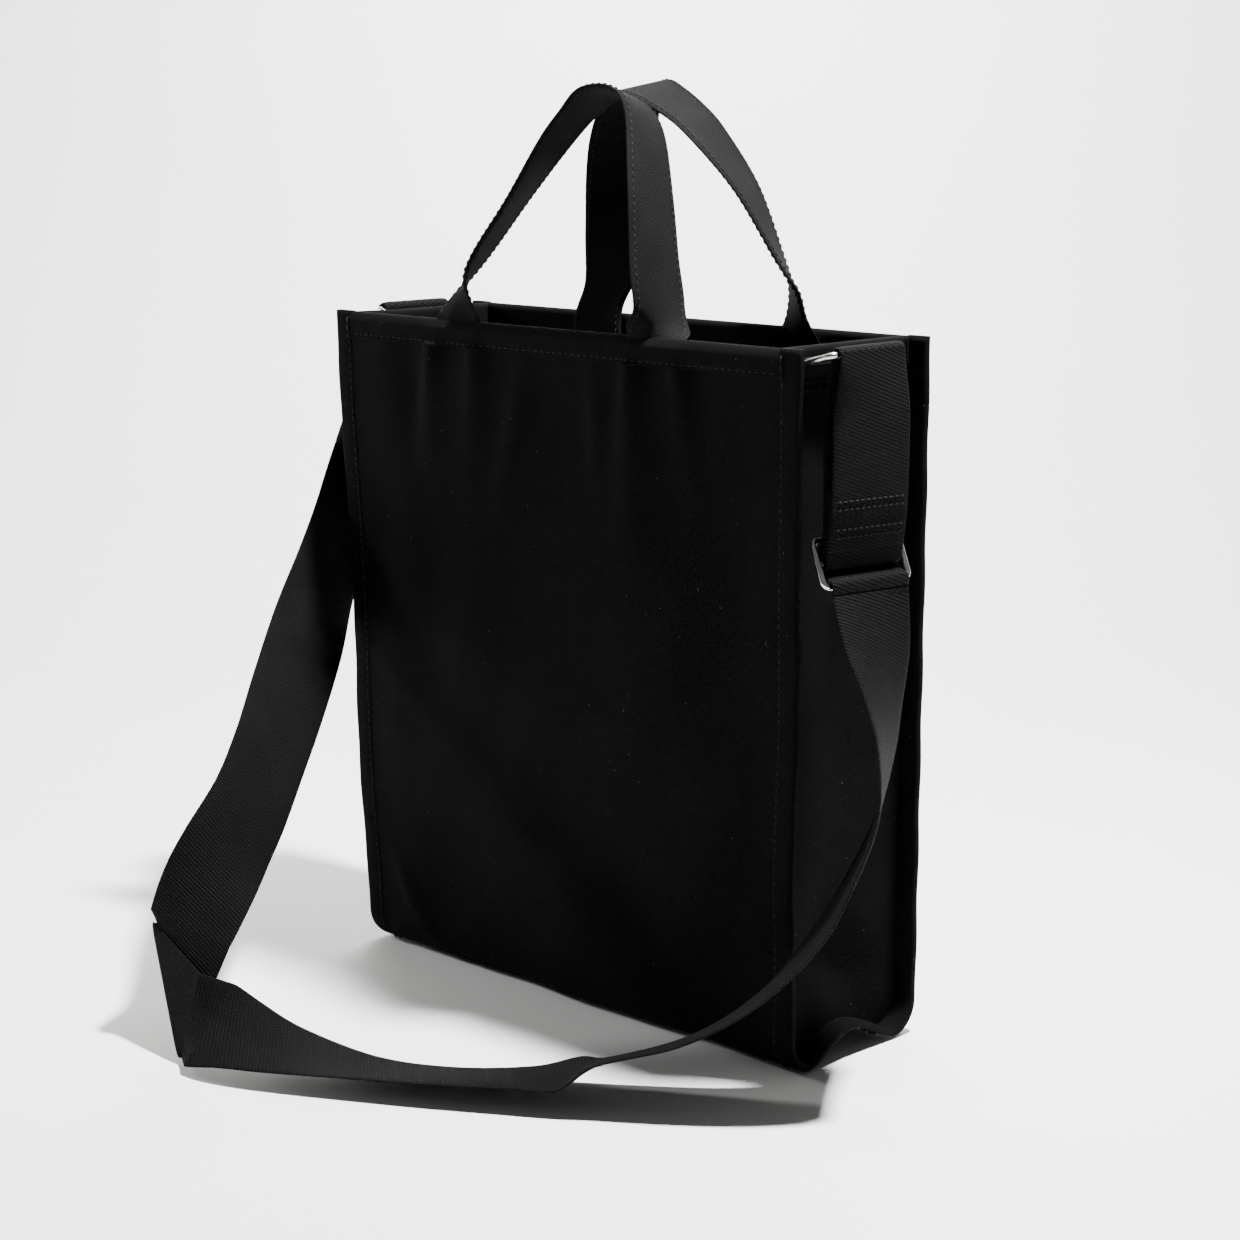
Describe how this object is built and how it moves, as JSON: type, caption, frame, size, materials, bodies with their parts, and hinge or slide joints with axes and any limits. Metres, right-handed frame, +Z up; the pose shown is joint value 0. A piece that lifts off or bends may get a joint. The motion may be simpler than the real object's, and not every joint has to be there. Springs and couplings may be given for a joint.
{
  "type": "canvas tote bag",
  "caption": "Boxy open-topped canvas bag with webbing carrying handles, hemmed mouth, standing side seams and an adjustable shoulder strap on wire rings.",
  "frame": {"origin": "centre of the base, on the surface that the bag stands on", "axes": "+Z up, +X to the right across the front panel, -Y out of the front panel"},
  "size_m": [0.4257, 0.3185, 0.5013],
  "materials": {
    "canvas": "heavy plain-weave cotton canvas, dyed black, matt",
    "handle_webbing": "woven cotton webbing, black, matt",
    "strap_webbing": "ribbed synthetic webbing, black, slight sheen",
    "nickel_wire": "bright nickel-plated steel wire",
    "thread": "black polyester sewing thread"
  },
  "bodies": {
    "root": {"body_panel": "canvas", "gusset_left": "canvas", "gusset_right": "canvas", "hem_front": "canvas", "hem_back": "canvas", "hem_left": "canvas", "hem_right": "canvas", "front_handle_foot_left": "handle_webbing", "front_handle_foot_right": "handle_webbing", "back_handle_foot_left": "handle_webbing", "back_handle_foot_right": "handle_webbing", "ring_tab_left": "canvas", "ring_tab_right": "canvas", "ring_right": "nickel_wire", "strap_fold_right": "strap_webbing", "strap_sewn_ply": "strap_webbing", "strap_running_ply": "strap_webbing", "strap_stitching": "thread", "shoulder_strap": "strap_webbing", "seam_stitching_left": "thread", "seam_stitching_right": "thread", "hem_stitching": "thread", "tab_stitching": "thread"},
    "front_handle": {"front_handle": "handle_webbing"},
    "back_handle": {"back_handle": "handle_webbing"},
    "slider": {"slider_frame": "nickel_wire", "slider_middle_bar": "nickel_wire", "strap_slider_collar": "strap_webbing", "strap_slider_wave": "strap_webbing"},
    "left_ring": {"ring_left": "nickel_wire", "strap_end_left": "strap_webbing"}
  },
  "joints": [
    {"name": "front_handle_swing", "type": "hinge", "parent": "root", "child": "front_handle", "pos_m": [0, -0.053, 0.373], "axis": [1, 0, 0], "range_deg": [0, 150]},
    {"name": "back_handle_swing", "type": "hinge", "parent": "root", "child": "back_handle", "pos_m": [0, 0.053, 0.373], "axis": [-1, 0, 0], "range_deg": [0, 150]},
    {"name": "slider_slide", "type": "slide", "parent": "root", "child": "slider", "axis": [0, 0, 1], "range_m": [0, 0.045], "deforming": ["strap_sewn_ply", "strap_running_ply", "strap_stitching"]},
    {"name": "left_ring_swing", "type": "hinge", "parent": "root", "child": "left_ring", "pos_m": [-0.1615, 0.014, 0.3635], "axis": [0, 1, 0], "range_deg": [0, 50]}
  ]
}
